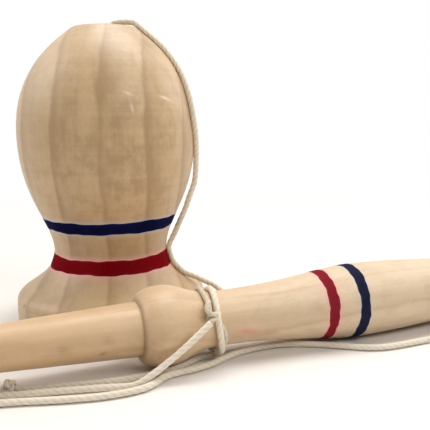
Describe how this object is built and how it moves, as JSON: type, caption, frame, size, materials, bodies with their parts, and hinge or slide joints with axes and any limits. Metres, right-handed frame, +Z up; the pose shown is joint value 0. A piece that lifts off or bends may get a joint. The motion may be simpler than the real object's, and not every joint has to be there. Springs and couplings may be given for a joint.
{
  "type": "cup and ball toy",
  "caption": "Turned wooden bell-and-peg catching toy: a socketed bell on a cord, caught on the peg of a stick with a collar and a swelling grip, with painted bands.",
  "frame": {"origin": "centre of the socket's mouth, on the surface that the bell's foot stands on", "axes": "+Z up the bell's axis; +X along the lying stick, from the peg towards the butt; the stick lies on the -Y side of the bell"},
  "size_m": [0.2035, 0.1011, 0.1076],
  "materials": {
    "bell_pine": "sanded, unvarnished pine",
    "stick_pine": "sanded, unvarnished pine",
    "red_paint": "matt paint soaked into the wood",
    "blue_paint": "matt paint soaked into the wood",
    "cotton_cord": "twisted unbleached cotton"
  },
  "bodies": {
    "cord": {"neck_binding": "cotton_cord", "neck_knot": "cotton_cord", "cord_drop": "cotton_cord", "cord_back": "cotton_cord", "cord_front": "cotton_cord", "cord_tail": "cotton_cord", "tail_knot": "cotton_cord"},
    "stick": {"stick": "stick_pine", "stick_red_band": "red_paint", "stick_blue_band": "blue_paint"},
    "tether_end": {"stopper_knot": "cotton_cord", "cord_upper": "cotton_cord"},
    "bell": {"bell": "bell_pine", "bell_red_band": "red_paint", "bell_blue_band": "blue_paint"}
  },
  "joints": [
    {"name": "stick_roll", "type": "hinge", "parent": "cord", "child": "stick", "pos_m": [0, -0.049, 0.0123], "axis": [1, 0, 0], "continuous": true},
    {"name": "bell_lift", "type": "slide", "parent": "cord", "child": "tether_end", "axis": [0, 0, 1], "range_m": [0, 0.2], "deforming": ["cord_drop"]},
    {"name": "bell_spin", "type": "hinge", "parent": "tether_end", "child": "bell", "pos_m": [0, 0, 0.105], "axis": [0, 0, 1], "continuous": true}
  ]
}
